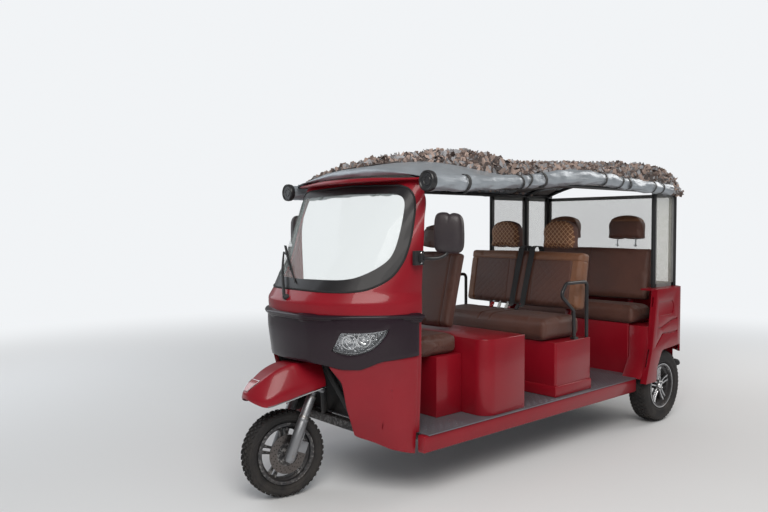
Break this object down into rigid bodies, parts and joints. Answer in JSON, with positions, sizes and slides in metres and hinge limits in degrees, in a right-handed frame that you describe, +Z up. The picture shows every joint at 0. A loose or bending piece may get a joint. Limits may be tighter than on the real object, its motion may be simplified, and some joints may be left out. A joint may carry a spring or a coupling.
{
  "type": "electric auto rickshaw",
  "caption": "Three-wheeled passenger rickshaw: windowed cab, steered front wheel, three rows of seats under a soft roof with rolled side curtains, and a short tail body.",
  "frame": {"origin": "on the ground under the middle of the vehicle's length and width", "axes": "the vehicle faces -Y, its own left side is +X, and +Z is up"},
  "size_m": [1.5534, 3.5267, 1.994],
  "materials": {
    "crimson_paint": "gloss",
    "black_panel": "gloss",
    "black_tube": "satin",
    "black_trim": "matte",
    "frit": "gloss",
    "screen_glass": "clear",
    "lamp_chrome": "polished",
    "lamp_lens": "clear",
    "tail_lens": "gloss",
    "mirror_shell": "satin",
    "mirror_glass": "polished",
    "grey_aluminium": "satin",
    "floor_plate": "chequered",
    "steel": "bare",
    "black_steel": "matt",
    "alloy": "machined",
    "dark_alloy": "satin",
    "tyre": "matte",
    "brown_leather": "grained",
    "belt": "woven",
    "canopy": "coated",
    "net": "open weave",
    "roll": "coated",
    "clear_sheet": "clear",
    "battery": "matte"
  },
  "bodies": {
    "vehicle": {"frame_rails": "black_steel", "cross_members": "black_steel", "head_braces": "black_steel", "floor_plate": "floor_plate", "side_sills": "crimson_paint", "cab_cowl": "crimson_paint", "cab_front_panel": "black_panel", "ledge_trim": "crimson_paint", "cab_surround": "crimson_paint", "pillar_strips": "black_trim", "windscreen_frame": "frit", "windscreen_glass": "screen_glass", "headlamp_bowls": "lamp_chrome", "headlamp_lenses": "lamp_lens", "wheel_arch_liner": "black_trim", "dashboard": "black_trim", "wiper": "black_trim", "mirror_housings": "mirror_shell", "mirror_glasses": "mirror_glass", "roof_cap": "crimson_paint", "roof_frame": "black_tube", "pillars": "black_tube", "roof_canopy": "canopy", "roof_net": "net", "curtain_rolls": "roll", "clear_curtains": "clear_sheet", "driver_seat_base": "crimson_paint", "bulkhead_box": "crimson_paint", "middle_bench_base": "crimson_paint", "rear_bench_base": "crimson_paint", "battery_pack": "battery", "driver_cushion": "brown_leather", "driver_backrest": "brown_leather", "middle_cushion": "brown_leather", "middle_backrest": "brown_leather", "seat_belts": "belt", "rear_cushion": "brown_leather", "rear_backrest": "brown_leather", "grab_rails": "black_tube", "body_sides": "crimson_paint", "wheel_wells": "black_trim", "tail_panel": "crimson_paint", "tail_lamps": "tail_lens", "rear_bumper": "black_tube", "rear_axle": "black_steel", "leaf_springs": "steel"},
    "steering": {"fork": "grey_aluminium", "handlebar": "black_tube", "front_fender": "crimson_paint", "brake_caliper": "black_steel"},
    "front_wheel": {"front_tyre": "tyre", "front_rim": "dark_alloy"},
    "rear_wheel_left": {"rear_tyre_left": "tyre", "rear_rim_left": "alloy"},
    "rear_wheel_right": {"rear_tyre_right": "tyre", "rear_rim_right": "alloy"}
  },
  "joints": [
    {"name": "steering", "type": "hinge", "parent": "vehicle", "child": "steering", "pos_m": [0, -1.50331, 0.22032], "axis": [0, 0.4226, 0.9063], "range_deg": [-23, 41]},
    {"name": "front_wheel_spin", "type": "hinge", "parent": "steering", "child": "front_wheel", "pos_m": [-0.00469, -1.53033, 0.23249], "axis": [0.9877, -0.1418, 0.0661], "continuous": true},
    {"name": "rear_wheel_left_spin", "type": "hinge", "parent": "vehicle", "child": "rear_wheel_left", "pos_m": [0.5875, 1.4045, 0.268], "axis": [1, 0, 0], "continuous": true},
    {"name": "rear_wheel_right_spin", "type": "hinge", "parent": "vehicle", "child": "rear_wheel_right", "pos_m": [-0.5875, 1.4045, 0.268], "axis": [1, 0, 0], "continuous": true}
  ]
}
